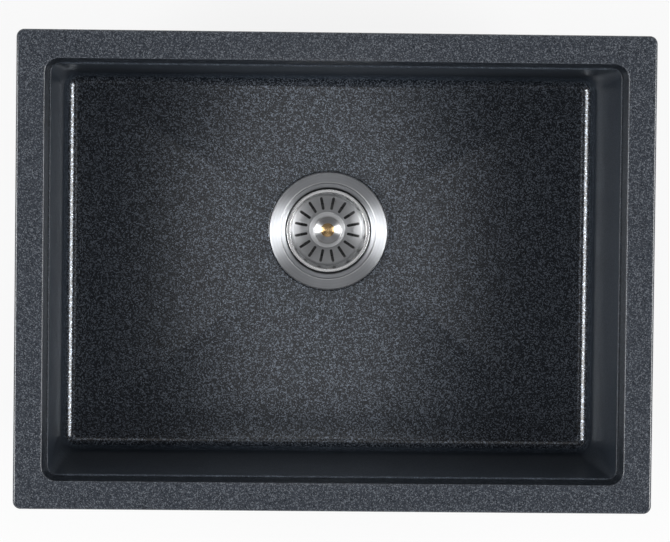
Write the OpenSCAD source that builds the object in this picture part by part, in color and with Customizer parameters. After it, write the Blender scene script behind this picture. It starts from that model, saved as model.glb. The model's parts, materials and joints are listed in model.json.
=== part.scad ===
// Single-bowl kitchen sink moulded in black quartz composite, with a stainless basket strainer
// waste. The bowl is one moulding. The waste clamps through the hole in its floor: a pressed
// steel cup from above, a plastic outlet housing from below, and one hollow brass screw that
// draws them together. The basket carries a rubber plug, and its brass post slides in the screw.
//
// Frame: +X to the right, +Y to the back, +Z up. The origin is the middle of the plane on which
// the rim rests, so z = 0 is the worktop's surface. All lengths are in millimetres.

/* [Rim] */
// Overall width of the rim, side to side
sink_w = 610; // [540:1:760]
// Overall length of the rim, front to back
sink_l = 457; // [400:1:520]
// Thickness of the rim
rim_t = 10; // [7:0.5:14]
// Width of the flat rim on every side
rim_w = 27; // [22:1:45]
// Corner radius of the rim's outline
rim_corner_r = 7.5; // [5:0.5:20]
// Rounding along the rim's outer edges
rim_edge_r = 1.5; // [0.5:0.1:3]

/* [Bowl] */
// Corner radius of the bowl's mouth
mouth_corner_r = 14; // [10:1:30]
// Rounding along the mouth's top edge
mouth_edge_r = 1; // [0.5:0.1:2]
// Height of the steep lip above the ledge
lip_h = 16; // [13:0.5:24]
// How far the lip leans in over its height
lip_run = 4; // [2:0.5:6]
// Width of the narrow ledge under the lip
ledge_w = 1.8; // [1.5:0.1:4]
// Rounding along the ledge's inner edge
ledge_edge_r = 1; // [0.5:0.1:1.4]
// Depth of the bowl at its walls, from the rim's top
bowl_h = 208; // [150:1:260]
// Fall of the floor from the walls to the drain
floor_fall = 4; // [2:0.5:8]
// Lean of the walls from upright, in degrees
wall_draft = 2.5; // [1:0.5:5]
// Radius of the cove between walls and floor
cove_r = 10; // [6:1:20]
// Corner radius of the flat floor
floor_corner_r = 6; // [4:1:20]
// Thickness of the walls
wall_t = 8; // [6:0.5:12]
// Thickness of the floor
floor_t = 9; // [7:0.5:12]
// Rounding where the outer walls meet the rim
root_r = 5; // [3:0.5:8]

/* [Drain seat] */
// How far the drain lies behind the middle of the bowl
drain_back = 32; // [0:1:60]
// Gap between the waste's cup and the drain hole
drain_hole_gap = 1; // [0.5:0.1:2]
// Gap round the flange in its seat
seat_gap = 0.7; // [0.4:0.1:1.5]
// Width of the level ring round the seat
seat_border = 6; // [4:1:10]
// Height of the boss under the drain
boss_h = 8; // [4:1:14]
// How much wider the boss is at its root
boss_lean = 2; // [1:0.5:4]
// How far the boss reaches out past the housing
boss_lap = 1; // [0.5:0.5:4]

/* [Waste flange] */
// Width of the flange outside its step
flange_w = 11.6; // [9:0.2:15]
// Thickness of the pressed steel
sheet_t = 1; // [0.8:0.1:1.2]
// Height of the flange above the bowl's floor
flange_crown = 0.5; // [0.2:0.1:1]
// Thickness of the rubber ring under the flange
flange_seal_t = 2.5; // [2:0.1:3.5]
// Width of the shallow step round the cup's mouth
step_w = 4.4; // [4:0.2:6]
// Depth of the shallow step
step_drop = 1.8; // [1.4:0.1:2.4]
// Inner diameter of the cup under the flange
cup_d = 86; // [85:0.5:87]
// Radius between the cup's wall and its bottom
cup_corner_r = 6; // [4:0.5:8]
// Fall of the cup's bottom towards the throat
shelf_fall = 2.4; // [1:0.2:4]
// Inner diameter of the throat that the plug closes
throat_d = 48; // [44:1:49]
// Depth of the throat from the plug's seat to the cross
throat_h = 10; // [9.5:0.5:14]
// Width of the arms of the cross in the throat
cross_arm_w = 6; // [4:0.5:8]
// Thickness of the cross
cross_t = 2; // [1.5:0.1:3]

/* [Outlet housing] */
// How far the housing's clamping flange reaches out past the waste flange
housing_lap = 1; // [0:0.5:6]
// Wall thickness of the housing
housing_wall = 2.5; // [2:0.5:4]
// Depth of the skirt round the clamping flange
skirt_h = 7; // [5:0.5:10]
// Gap between the cup and the housing's bell
bell_gap = 2.5; // [1.5:0.5:4]
// Thickness of the rubber ring between boss and housing
under_seal_t = 4; // [3:0.5:6]
// Height of the funnel under the bell
funnel_h = 20; // [16:1:30]
// Height of the plain neck above the thread
neck_h = 8; // [5:1:14]
// How far the neck stands out past the thread
neck_w = 2; // [1:0.5:3]
// Wall of the outlet inside its thread
outlet_wall = 3.9; // [3:0.1:6]
// Outer diameter of the outlet's pipe thread, G 1 1/2
outlet_thread_d = 47.8; // [46:0.1:50]
// Length of the outlet's thread
outlet_thread_h = 22; // [16:1:30]
// Number of ribs under the clamping flange
rib_count = 12; // [6:1:16]
// Thickness of a rib
rib_t = 2.2; // [1.6:0.2:4]
// Number of arms that carry the threaded hub
hub_arm_count = 4; // [3:1:6]
// Thickness of an arm
hub_arm_t = 2.6; // [2:0.2:4]
// Wall of the hub round the brass insert
hub_wall = 2; // [1.5:0.5:3]

/* [Clamp screw] */
// Outer diameter of the hollow screw
screw_d = 12; // [11.5:0.5:13]
// Radial gap between the post and the screw's bore
post_gap = 0.3; // [0.2:0.05:0.5]
// Diameter of the screw's head
screw_head_d = 19; // [17:0.5:20]
// Height of the screw's head
screw_head_h = 3; // [2.5:0.1:3.2]
// Width of the key slots across the head
key_slot_w = 3; // [2:0.5:4]
// Thickness of the washer under the head
screw_washer_t = 1; // [0.8:0.1:1.2]
// Height of the threaded brass insert
insert_h = 14; // [10:1:16]
// Wall of the brass insert
insert_wall = 2.5; // [2:0.5:3.5]
// How far the screw reaches past the insert
screw_past = 4; // [3:1:10]

/* [Basket] */
// Gap between the basket's rim and the cup
basket_gap = 1.2; // [0.5:0.1:3]
// Width of the basket's rolled rim
basket_rim_w = 4; // [3.6:0.1:5]
// Height of the rim's outer lip
basket_lip_h = 2.2; // [1.8:0.1:3]
// Depth of the basket's rim below the flange
basket_drop = 3; // [2.4:0.2:6]
// Inside depth of the basket, from its rim
basket_h = 31.6; // [26:0.2:40]
// How far the basket's wall leans in over its height
basket_taper = 2; // [1:0.1:3]
// Radius between the basket's wall and its bottom
basket_corner_r = 2.5; // [1.5:0.5:3.5]
// Number of slots in the basket's bottom
slot_count = 16; // [8:1:20]
// Width of a slot
slot_w = 2.4; // [1.6:0.1:3]
// Distance from the middle to the near end of a slot
slot_start = 20.2; // [19:0.1:22]
// How far the slots stop short of the bottom's edge
slot_stop = 0.2; // [0.1:0.1:4]
// How far the rubber plug laps the throat's edge
plug_lap = 3; // [2:0.5:5]
// Thickness of the rubber plug
plug_t = 5.5; // [4:0.5:7]
// Diameter of the plate that holds the plug
plate_d = 28; // [22:1:34]

/* [Knob] */
// Diameter of the knob's foot
knob_foot_d = 36.5; // [32:0.5:37]
// Height of the foot's edge
knob_foot_h = 1.4; // [1:0.1:2.4]
// Diameter of the knob's top
knob_top_d = 28.8; // [26:0.2:31]
// Diameter of the knob's waist
knob_waist_d = 19; // [18:0.5:21]
// Height of the knob
knob_h = 17.5; // [15:0.5:22]
// Depth of the finger dish in the knob's top
dish_h = 3.4; // [2.5:0.1:4]
// Diameter of the brass post's head in the dish
post_head_d = 13.8; // [12:0.2:15]
// Thickness of the brass post's head
post_head_h = 2.2; // [1.8:0.1:3]
// Thickness of the nylon washer under the knob
knob_washer_t = 0.8; // [0.5:0.1:1.2]

/* [Post] */
// Diameter of the brass post
post_d = 8; // [7.6:0.1:8.2]
// How far the post reaches below the plug's seat
post_reach = 31; // [28:1:34]
// Height of the collar at the post's lower end
post_collar_h = 2; // [1.5:0.5:3]
// Width across the flats of the nut on the post
nut_af = 13; // [12:0.5:15]
// Height of the nut on the post
nut_h = 3; // [2.6:0.1:3.2]
// Thickness of the spring washer over the nut
lock_washer_t = 1.2; // [1:0.1:1.4]
// How deep the catch sleeve lies in the post
sleeve_sink = 0.5; // [0.4:0.05:0.8]
// Height of the catch sleeve
sleeve_h = 8; // [6:0.5:10]
// Width of the slit in the catch sleeve
sleeve_slit_w = 0.8; // [0.5:0.1:1.5]
// How far the basket rises to its open catch
catch_lift = 10; // [8:1:12]

/* [Clearances] */
// Gap between the plug and its seat
plug_gap = 0.3; // [0.2:0.05:0.5]
// Radial clearance of the catch sleeve on the post and in the screw
running_fit = 0.08; // [0.05:0.01:0.1]
// Play of the catch sleeve along the post
axial_play = 0.1; // [0.05:0.05:0.3]
// Radial clearance of the screw in the cross and the hub
screw_clearance = 0.3; // [0.2:0.05:0.5]

/* [Hidden] */
$fn = 96;
through = 1; // how far a cutting shape runs past a face
bevel = 0.8; // small chamfer on turned and moulded edges

// Steps along the bowl's sides and round its edges
corner_steps = 6;
long_side_steps = 12;
short_side_steps = 8;
cove_steps = 6;
edge_steps = 3;

// Heights and insets of the bowl. An inset is measured inwards from the mouth's outline.
mouth_x = sink_w / 2 - rim_w;
mouth_y = sink_l / 2 - rim_w;
lip_lean = atan(lip_run / lip_h);
ledge_z = rim_t - lip_h;
ledge_in = lip_run + ledge_w;
floor_edge_z = rim_t - bowl_h;
floor_z = floor_edge_z - floor_fall;
foot_z = floor_edge_z + cove_r - cove_r * sin(wall_draft);
foot_in = ledge_in + (ledge_z - foot_z) * tan(wall_draft);
cove_in = foot_in + cove_r * cos(wall_draft);
outer_top_in = lip_run * rim_t / lip_h - wall_t;
outer_foot_in = foot_in - wall_t;
outer_draft = atan((outer_foot_in - outer_top_in) / -floor_edge_z);
under_edge_z = floor_edge_z - floor_t;
under_z = floor_z - floor_t;
bottom_r = cove_r + wall_t;

// Waste flange and cup. A height in u is measured from the floor beside the drain.
flange_under_u = flange_crown - sheet_t;
seat_u = flange_under_u - flange_seal_t;
bend_r = sheet_t + 0.4; // upper side of a bend in the pressed sheet
cup_r = cup_d / 2;
step_r = cup_r + step_w;
flange_r = step_r + flange_w;
throat_r = throat_d / 2;
rim_u = flange_crown - basket_drop;
basket_floor_u = rim_u - basket_h;
plug_top_u = basket_floor_u - sheet_t;
plug_under_u = plug_top_u - plug_t;
throat_u = plug_under_u - plug_gap;
cross_u = throat_u - throat_h;
head_under_u = cross_u + screw_washer_t;
head_top_u = head_under_u + screw_head_h;
plug_r = throat_r + plug_lap;
land_r = plug_r + 1.5; // outer edge of the flat land round the throat

// Seat and boss in the bowl
hole_r = cup_r + sheet_t + drain_hole_gap;
seat_r = flange_r + seat_gap;
level_r = seat_r + seat_border;
core_r = hole_r - 5; // hole left in the moulding before the bore is cut true
housing_r = flange_r + housing_lap;
boss_r = housing_r + boss_lap;
boss_u = -floor_t - boss_h;

// Outlet housing
housing_top_u = boss_u - under_seal_t;
bell_r = cup_r + sheet_t + bell_gap;
funnel_top_u = throat_u - sheet_t - 4;
neck_top_u = funnel_top_u - funnel_h;
thread_r = outlet_thread_d / 2;
outlet_r = thread_r - outlet_wall;
neck_r = thread_r + neck_w;
thread_top_u = neck_top_u - neck_h;
outlet_end_u = thread_top_u - outlet_thread_h;
insert_r = screw_d / 2 + insert_wall;
insert_top_u = neck_top_u + 5;
insert_under_u = insert_top_u - insert_h;
hub_r = insert_r + hub_wall;
hub_cap = 1; // plastic above and below the insert
hub_top_u = insert_top_u + hub_cap;
hub_under_u = insert_under_u - hub_cap;
screw_end_u = insert_under_u - screw_past;

// Post, catch sleeve and the two grooves that catch it
post_r = post_d / 2;
post_end_u = throat_u - post_reach;
screw_bore_r = post_r + post_gap;
sleeve_in_r = post_r - sleeve_sink;
bead_r = screw_bore_r - running_fit;
sleeve_r = bead_r - 0.25; // plain part of the sleeve, above and below its bead
bead_h = 2;
sleeve_u = post_end_u + post_collar_h + axial_play;
bead_u = sleeve_u + sleeve_h / 2;
catch_depth = 0.4;

// Basket and knob
basket_r = cup_r - basket_gap;
basket_in_r = basket_r - basket_rim_w;
basket_foot_r = basket_in_r - basket_taper;
basket_flat_r = basket_foot_r - basket_corner_r;
slot_end = basket_flat_r - slot_stop;
plate_rim_h = 1.5; // how far the plate stands up into the plug
knob_under_u = basket_floor_u + knob_washer_t;
knob_top_u = knob_under_u + knob_h;
dish_u = knob_top_u - dish_h;
head_seat_u = dish_u - post_head_h;
nut_top_u = plug_under_u - sheet_t - lock_washer_t;

// Points of a round stretch, from one angle to another
function arc_points(x, y, r, from, to, steps) = [
    for (i = [0 : steps])
        let (a = from + (to - from) * i / steps)
        [x + r * cos(a), y + r * sin(a)]
];

// A convex edge between a level face at top_z and a wall below it that leans in by lean degrees.
// The points run from the wall up to the level face, as [inset, z].
function rounded_edge(inset, top_z, lean, r) =
    arc_points(inset + r * tan(lean) - r / cos(lean), top_z - r, r, lean, 90, edge_steps);

// One corner of a level outline of the bowl, quarter by quarter from the back right one
function corner_points(quarter, half_x, half_y, r) =
    let (
        sx = (quarter == 0 || quarter == 3) ? 1 : -1,
        sy = quarter < 2 ? 1 : -1
    )
    arc_points(sx * (half_x - r), sy * (half_y - r), r,
               90 * quarter, 90 * (quarter + 1), corner_steps);

// A level outline of the bowl: four rounded corners, with points along the straight sides
function outline(inset, z, r) = [
    for (quarter = [0 : 3])
        let (
            half_x = mouth_x - inset,
            half_y = mouth_y - inset,
            here = corner_points(quarter, half_x, half_y, r),
            next = corner_points((quarter + 1) % 4, half_x, half_y, r),
            steps = quarter % 2 == 0 ? long_side_steps : short_side_steps
        )
        each concat(
            [for (p = here) [p[0], p[1], z]],
            [
                for (i = [1 : steps - 1])
                    let (p = here[corner_steps] + (next[0] - here[corner_steps]) * i / steps)
                    [p[0], p[1], z]
            ]
        )
];

floor_outline = outline(cove_in, floor_edge_z, floor_corner_r);

// A circle round the drain, with its points in line with those of the floor's outline
function drain_circle(r, z) = [
    for (p = floor_outline)
        let (a = atan2(p[1] - drain_back, p[0]))
        [r * cos(a), drain_back + r * sin(a), z]
];

// Outlines of the moulding in order: up the inside, over the rim and down the outside
cove_levels = [
    for (p = arc_points(cove_in, floor_edge_z + cove_r, cove_r, 270, 180 + wall_draft, cove_steps))
        outline(p[0], p[1], floor_corner_r + cove_in - p[0])
];
ledge_levels = [
    for (p = rounded_edge(ledge_in, ledge_z, wall_draft, ledge_edge_r))
        outline(p[0], p[1], mouth_corner_r - p[0])
];
lip_levels = concat(
    [outline(lip_run, ledge_z, mouth_corner_r - lip_run)],
    [
        for (p = rounded_edge(0, rim_t, lip_lean, mouth_edge_r))
            outline(p[0], p[1], mouth_corner_r - p[0])
    ]
);
rim_levels = [
    for (p = concat(
        arc_points(rim_edge_r - rim_w, rim_t - rim_edge_r, rim_edge_r, 90, 180, edge_steps),
        arc_points(rim_edge_r - rim_w, rim_edge_r, rim_edge_r, 180, 270, edge_steps)
    ))
        outline(p[0], p[1], rim_corner_r - p[0] - rim_w)
];
root_in = outer_top_in + root_r * tan(outer_draft) - root_r / cos(outer_draft);
root_levels = [
    for (p = arc_points(root_in, -root_r, root_r, 90, outer_draft, edge_steps))
        outline(p[0], p[1], mouth_corner_r - p[0])
];
bottom_edge_z = under_edge_z + bottom_r;
bottom_in = outer_top_in - bottom_edge_z * tan(outer_draft) + bottom_r / cos(outer_draft);
bottom_levels = [
    for (p = arc_points(bottom_in, bottom_edge_z, bottom_r, 180 + outer_draft, 270, cove_steps))
        outline(p[0], p[1], floor_corner_r + bottom_in - p[0])
];
drain_levels_under = [
    drain_circle(boss_r + boss_lean, under_z),
    drain_circle(boss_r, under_z - boss_h),
    drain_circle(core_r, under_z - boss_h),
];
drain_levels_over = [
    drain_circle(core_r, floor_z),
    drain_circle(level_r, floor_z),
];
moulding_levels = concat(
    drain_levels_over, cove_levels, ledge_levels, lip_levels, rim_levels,
    root_levels, bottom_levels, drain_levels_under
);

// A closed skin through a loop of outlines that all have the same number of points
module skin(levels) {
    count = len(levels);
    around = len(levels[0]);
    polyhedron(
        points = [for (level = levels) each level],
        faces = [
            for (i = [0 : count - 1], j = [0 : around - 1])
                let (
                    up = (i + 1) % count,
                    next = (j + 1) % around,
                    a = i * around + j,
                    b = i * around + next,
                    c = up * around + next,
                    d = up * around + j
                )
                each [[a, c, b], [a, d, c]]
        ],
        convexity = 6
    );
}

// Unit vector to the left of the way from one point to the next
function left_of(from, to) = let (d = to - from) [-d[1], d[0]] / norm(d);

// The point across a sheet of thickness t from point i of its path
function across(path, i, t) =
    let (
        last = len(path) - 1,
        before = left_of(path[max(i - 1, 0)], path[max(i, 1)]),
        after = left_of(path[min(i, last - 1)], path[min(i + 1, last)]),
        middle = before + after
    )
    path[i] + t * middle * 2 / (middle * middle);

// Closed outline of a pressed sheet, from the path of its upper side
function sheet(path, t) = concat(
    path,
    [for (i = [len(path) - 1 : -1 : 0]) across(path, i, t)]
);

// Puts a turned part on the drain's axis, with u = 0 at the floor beside the drain
module at_drain() {
    translate([0, drain_back, floor_z]) children();
}

// A plain ring between two heights
module ring(outer_r, inner_r, low, high) {
    translate([0, 0, low])
        difference() {
            cylinder(r = outer_r, h = high - low);
            translate([0, 0, -through]) cylinder(r = inner_r, h = high - low + 2 * through);
        }
}

module sink_bowl() {
    color([0.12, 0.125, 0.14])
        difference() {
            skin(moulding_levels);
            at_drain()
                rotate_extrude()
                    polygon([
                        [0, through], [seat_r, through], [seat_r, seat_u], [hole_r, seat_u],
                        [hole_r, boss_u - through], [0, boss_u - through]
                    ]);
        }
}

// Upper side of the pressed flange and cup, from the rolled edge down into the throat
function cup_path() =
    let (
        bend_u = flange_crown - bend_r,
        mouth_u = flange_crown - step_drop,
        corner_in = cup_r - cup_corner_r,
        corner_u = throat_u + shelf_fall + cup_corner_r
    )
    concat(
        [[flange_r, bend_u - 0.4]],
        arc_points(flange_r - bend_r, bend_u, bend_r, 0, 90, 4),
        arc_points(step_r + bend_r, bend_u, bend_r, 90, 150, 3),
        [[step_r - 0.2, mouth_u]],
        arc_points(cup_r + bend_r, mouth_u - bend_r, bend_r, 90, 180, 4),
        arc_points(corner_in, corner_u, cup_corner_r, 0, -78, 5),
        [[land_r, throat_u]],
        arc_points(throat_r + bend_r, throat_u - bend_r, bend_r, 90, 180, 4),
        [[throat_r, cross_u - cross_t]]
    );

module waste_flange() {
    pad_r = screw_head_d / 2 + 1;
    cross_under_u = cross_u - cross_t;
    color([0.72, 0.73, 0.74])
        at_drain()
            difference() {
                union() {
                    rotate_extrude() polygon(sheet(cup_path(), sheet_t));
                    intersection() {
                        for (i = [0 : 1])
                            rotate([0, 0, 45 + 90 * i])
                                translate([-throat_d / 2, -cross_arm_w / 2, cross_under_u])
                                    cube([throat_d, cross_arm_w, cross_t]);
                        translate([0, 0, cross_under_u])
                            cylinder(r = throat_r + sheet_t / 2, h = cross_t);
                    }
                    translate([0, 0, cross_under_u]) cylinder(r = pad_r, h = cross_t);
                }
                translate([0, 0, cross_under_u - through])
                    cylinder(r = screw_d / 2 + screw_clearance, h = cross_t + 2 * through);
            }
}

module flange_seal() {
    color([0.08, 0.08, 0.08])
        at_drain() ring(flange_r - bend_r - 1, step_r + bend_r + 1, seat_u, flange_under_u);
}

module underside_seal() {
    outer_r = housing_r - 1;
    waist_u = boss_u - under_seal_t / 2;
    waist_w = under_seal_t / 8;
    color([0.08, 0.08, 0.08])
        at_drain()
            rotate_extrude()
                polygon([
                    [bell_r, boss_u], [outer_r, boss_u], [outer_r - waist_w, waist_u],
                    [outer_r, housing_top_u], [bell_r, housing_top_u],
                    [bell_r + waist_w, waist_u]
                ]);
}

// Outline of the plastic housing: clamping flange with its skirt, bell, funnel, neck and thread
function housing_profile() =
    let (
        out_r = bell_r + housing_wall,
        skirt_u = housing_top_u - skirt_h,
        flange_under = housing_top_u - housing_wall
    )
    [
        [bell_r, housing_top_u], [housing_r - bevel, housing_top_u],
        [housing_r, housing_top_u - bevel], [housing_r, skirt_u],
        [housing_r - housing_wall, skirt_u], [housing_r - housing_wall, flange_under],
        [out_r, flange_under], [out_r, funnel_top_u], [neck_r, neck_top_u - housing_wall],
        [neck_r, thread_top_u], [thread_r, thread_top_u], [thread_r, outlet_end_u + bevel],
        [thread_r - bevel, outlet_end_u], [outlet_r, outlet_end_u], [outlet_r, neck_top_u],
        [bell_r, funnel_top_u]
    ];

// Inside of the funnel and the outlet, a little proud, to trim the hub's arms
function arm_envelope() = [
    [0, hub_under_u], [outlet_r + housing_wall / 2, hub_under_u],
    [outlet_r + housing_wall / 2, neck_top_u],
    [bell_r + housing_wall / 2, funnel_top_u], [0, funnel_top_u]
];

// A triangular rib between the bell and the skirt
module housing_rib() {
    bell_out_r = bell_r + housing_wall / 2;
    skirt_in_r = housing_r - housing_wall / 2;
    rib_end_u = funnel_top_u + 4;
    rotate([90, 0, 0])
        translate([0, 0, -rib_t / 2])
            linear_extrude(height = rib_t)
                polygon([
                    [bell_out_r, housing_top_u - housing_wall / 2],
                    [skirt_in_r, housing_top_u - housing_wall / 2],
                    [skirt_in_r, housing_top_u - skirt_h + bevel],
                    [bell_r + housing_wall, rib_end_u], [bell_out_r, rib_end_u]
                ]);
}

module outlet_housing() {
    screw_hole_r = screw_d / 2 + screw_clearance;
    color([0.16, 0.16, 0.17])
        at_drain()
            difference() {
                union() {
                    rotate_extrude() polygon(housing_profile());
                    translate([0, 0, hub_under_u])
                        cylinder(r = hub_r, h = hub_top_u - hub_under_u);
                    intersection() {
                        for (i = [0 : hub_arm_count - 1])
                            rotate([0, 0, 360 * i / hub_arm_count])
                                translate([0, -hub_arm_t / 2, hub_under_u])
                                    cube([bell_r, hub_arm_t, insert_h]);
                        rotate_extrude() polygon(arm_envelope());
                    }
                    for (i = [0 : rib_count - 1])
                        rotate([0, 0, 360 * i / rib_count]) housing_rib();
                }
                translate([0, 0, insert_under_u]) cylinder(r = insert_r, h = insert_h);
                translate([0, 0, hub_under_u - through])
                    cylinder(r = screw_hole_r, h = hub_top_u - hub_under_u + 2 * through);
            }
}

module housing_insert() {
    color([0.78, 0.6, 0.3])
        at_drain() ring(insert_r, screw_d / 2, insert_under_u, insert_top_u);
}

module clamp_screw() {
    screw_r = screw_d / 2;
    head_r = screw_head_d / 2;
    key_slot_h = screw_head_h / 2;
    catch_h = bead_h + 2 * axial_play;
    color([0.8, 0.62, 0.32])
        at_drain()
            difference() {
                rotate_extrude()
                    polygon([
                        [0, screw_end_u], [screw_r - bevel, screw_end_u],
                        [screw_r, screw_end_u + bevel], [screw_r, head_under_u],
                        [head_r, head_under_u], [head_r, head_top_u - bevel],
                        [head_r - bevel, head_top_u], [0, head_top_u]
                    ]);
                translate([0, 0, screw_end_u - through])
                    cylinder(r = screw_bore_r, h = head_top_u - screw_end_u + 2 * through);
                for (lift = [0, catch_lift])
                    translate([0, 0, bead_u + lift - catch_h / 2])
                        cylinder(r = screw_bore_r + catch_depth, h = catch_h);
                for (i = [0 : 1])
                    rotate([0, 0, 90 * i])
                        translate([-head_r - through, -key_slot_w / 2, head_top_u - key_slot_h])
                            cube([2 * (head_r + through), key_slot_w, key_slot_h + through]);
            }
}

module screw_washer() {
    color([0.7, 0.7, 0.7])
        at_drain()
            ring(screw_head_d / 2 + 0.6, screw_d / 2 + screw_clearance, cross_u, head_under_u);
}

module catch_sleeve() {
    top_u = sleeve_u + sleeve_h;
    slope_h = bead_r - sleeve_r;
    color([0.9, 0.9, 0.88])
        at_drain()
            difference() {
                rotate_extrude()
                    polygon([
                        [sleeve_in_r, sleeve_u], [sleeve_r, sleeve_u],
                        [sleeve_r, bead_u - bead_h / 2], [bead_r, bead_u - bead_h / 2 + slope_h],
                        [bead_r, bead_u + bead_h / 2 - slope_h], [sleeve_r, bead_u + bead_h / 2],
                        [sleeve_r, top_u], [sleeve_in_r, top_u]
                    ]);
                translate([0, -sleeve_slit_w / 2, sleeve_u - through])
                    cube([bead_r + through, sleeve_slit_w, sleeve_h + 2 * through]);
            }
}

// Upper side of the pressed basket, from the rim's outer lip over the roll to the middle
function basket_path() =
    let (
        bend_u = rim_u - bend_r,
        wall_lean = atan(basket_taper / basket_h)
    )
    concat(
        [[basket_r, rim_u - basket_lip_h]],
        arc_points(basket_r - bend_r, bend_u, bend_r, 0, 90, 4),
        arc_points(basket_in_r + bend_r, bend_u, bend_r, 90, 180 - wall_lean, 4),
        arc_points(basket_flat_r, basket_floor_u + basket_corner_r, basket_corner_r,
                   -wall_lean, -90, 4),
        [[0, basket_floor_u]]
    );

// A slot with round ends that runs outwards along X
module slot(from, to, width, height) {
    r = width / 2;
    translate([from + r, 0, 0]) cylinder(r = r, h = height);
    translate([from + r, -r, 0]) cube([to - from - width, width, height]);
    translate([to - r, 0, 0]) cylinder(r = r, h = height);
}

module basket_cup() {
    cut_h = sheet_t + 2 * through;
    color([0.72, 0.73, 0.74])
        at_drain()
            difference() {
                rotate_extrude() polygon(sheet(basket_path(), sheet_t));
                translate([0, 0, plug_top_u - through]) cylinder(r = post_r, h = cut_h);
                for (i = [0 : slot_count - 1])
                    rotate([0, 0, 360 * (i + 0.5) / slot_count])
                        translate([0, 0, plug_top_u - through])
                            slot(slot_start, slot_end, slot_w, cut_h);
            }
}

module basket_plug() {
    plate_r = plate_d / 2;
    groove_r = plate_r + 1;
    color([0.05, 0.05, 0.05])
        at_drain()
            rotate_extrude()
                polygon(concat(
                    [[post_r, plug_under_u + plate_rim_h], [post_r, plug_top_u]],
                    arc_points(plug_r - 1, plug_top_u - 1, 1, 90, 0, 3),
                    [[plug_r, plug_under_u + 1.6], [plug_r - 1, plug_under_u]],
                    [[groove_r + 1, plug_under_u], [groove_r, plug_under_u + 1]],
                    [[groove_r, plug_under_u + plate_rim_h]]
                ));
}

module plug_plate() {
    plate_r = plate_d / 2;
    color([0.72, 0.73, 0.74])
        at_drain()
            rotate_extrude()
                polygon([
                    [post_r, plug_under_u - sheet_t], [plate_r - 1, plug_under_u - sheet_t],
                    [plate_r, plug_under_u], [plate_r, plug_under_u + plate_rim_h],
                    [post_r, plug_under_u + plate_rim_h]
                ]);
}

module knob_washer() {
    color([0.9, 0.9, 0.88])
        at_drain() ring(knob_foot_d / 2 - 3, post_r, basket_floor_u, knob_under_u);
}

// Outline of the knob: foot, waist, flared top and the dish with its hole for the post's head
function knob_profile() =
    let (
        foot_r = knob_foot_d / 2,
        top_r = knob_top_d / 2,
        waist_r = knob_waist_d / 2,
        flare_r = top_r - waist_r,
        fillet_r = 2.4,
        foot_u = knob_under_u + knob_foot_h,
        flare_u = knob_top_u - 2 - flare_r
    )
    concat(
        [[post_r, knob_under_u], [foot_r, knob_under_u], [foot_r, foot_u - 0.4]],
        [[foot_r - 0.4, foot_u]],
        arc_points(waist_r + fillet_r, foot_u + fillet_r, fillet_r, 270, 180, 3),
        arc_points(top_r, flare_u, flare_r, 180, 100, 5),
        [[top_r, knob_top_u - 0.6], [top_r - 0.6, knob_top_u], [top_r - 1, knob_top_u]],
        [[post_head_d / 2, dish_u], [post_head_d / 2, head_seat_u], [post_r, head_seat_u]]
    );

module basket_knob() {
    color([0.74, 0.75, 0.76])
        at_drain() rotate_extrude() polygon(knob_profile());
}

module knob_post() {
    head_r = post_head_d / 2;
    groove_r = sleeve_in_r - running_fit;
    groove_u = post_end_u + post_collar_h;
    groove_top_u = sleeve_u + sleeve_h + axial_play;
    hollow_h = 1.4; // depth of the cone sunk in the head
    color([0.83, 0.62, 0.35])
        at_drain()
            rotate_extrude()
                polygon([
                    [0, post_end_u], [post_r - bevel, post_end_u], [post_r, post_end_u + bevel],
                    [post_r, groove_u], [groove_r, groove_u], [groove_r, groove_top_u],
                    [post_r, groove_top_u], [post_r, head_seat_u], [head_r, head_seat_u],
                    [head_r, dish_u], [0, dish_u - hollow_h]
                ]);
}

module lock_washer() {
    slit_w = 1;
    color([0.7, 0.7, 0.7])
        at_drain()
            difference() {
                ring(nut_af / 2 - 0.5, post_r, nut_top_u, nut_top_u + lock_washer_t);
                translate([0, -slit_w / 2, nut_top_u - through])
                    cube([nut_af, slit_w, lock_washer_t + 2 * through]);
            }
}

module post_nut() {
    flat_r = nut_af / 2;
    corner_r = flat_r / cos(30);
    chamfer_h = 0.6;
    color([0.7, 0.7, 0.7])
        at_drain()
            translate([0, 0, nut_top_u - nut_h])
                difference() {
                    intersection() {
                        cylinder(r = corner_r, h = nut_h, $fn = 6);
                        rotate_extrude()
                            polygon([
                                [0, 0], [flat_r, 0], [corner_r, chamfer_h],
                                [corner_r, nut_h - chamfer_h], [flat_r, nut_h], [0, nut_h]
                            ]);
                    }
                    translate([0, 0, -through]) cylinder(r = post_r, h = nut_h + 2 * through);
                }
}

sink_bowl();
waste_flange();
flange_seal();
underside_seal();
outlet_housing();
housing_insert();
clamp_screw();
screw_washer();
catch_sleeve();
basket_cup();
basket_plug();
plug_plate();
knob_washer();
basket_knob();
knob_post();
lock_washer();
post_nut();
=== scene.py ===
"""Looks of a single-bowl composite kitchen sink with its steel basket strainer waste.

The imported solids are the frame. Pieces that show are modelled again in finer form and
take the place of their solids; the rest of the solids are kept and dressed. Lengths are in
millimetres while a piece is modelled, and in metres in its finished mesh.
"""

import json
import logging
import math
from collections.abc import Callable
from dataclasses import dataclass
from enum import Enum

import bmesh
import bpy
from mathutils import Matrix, Vector

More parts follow.
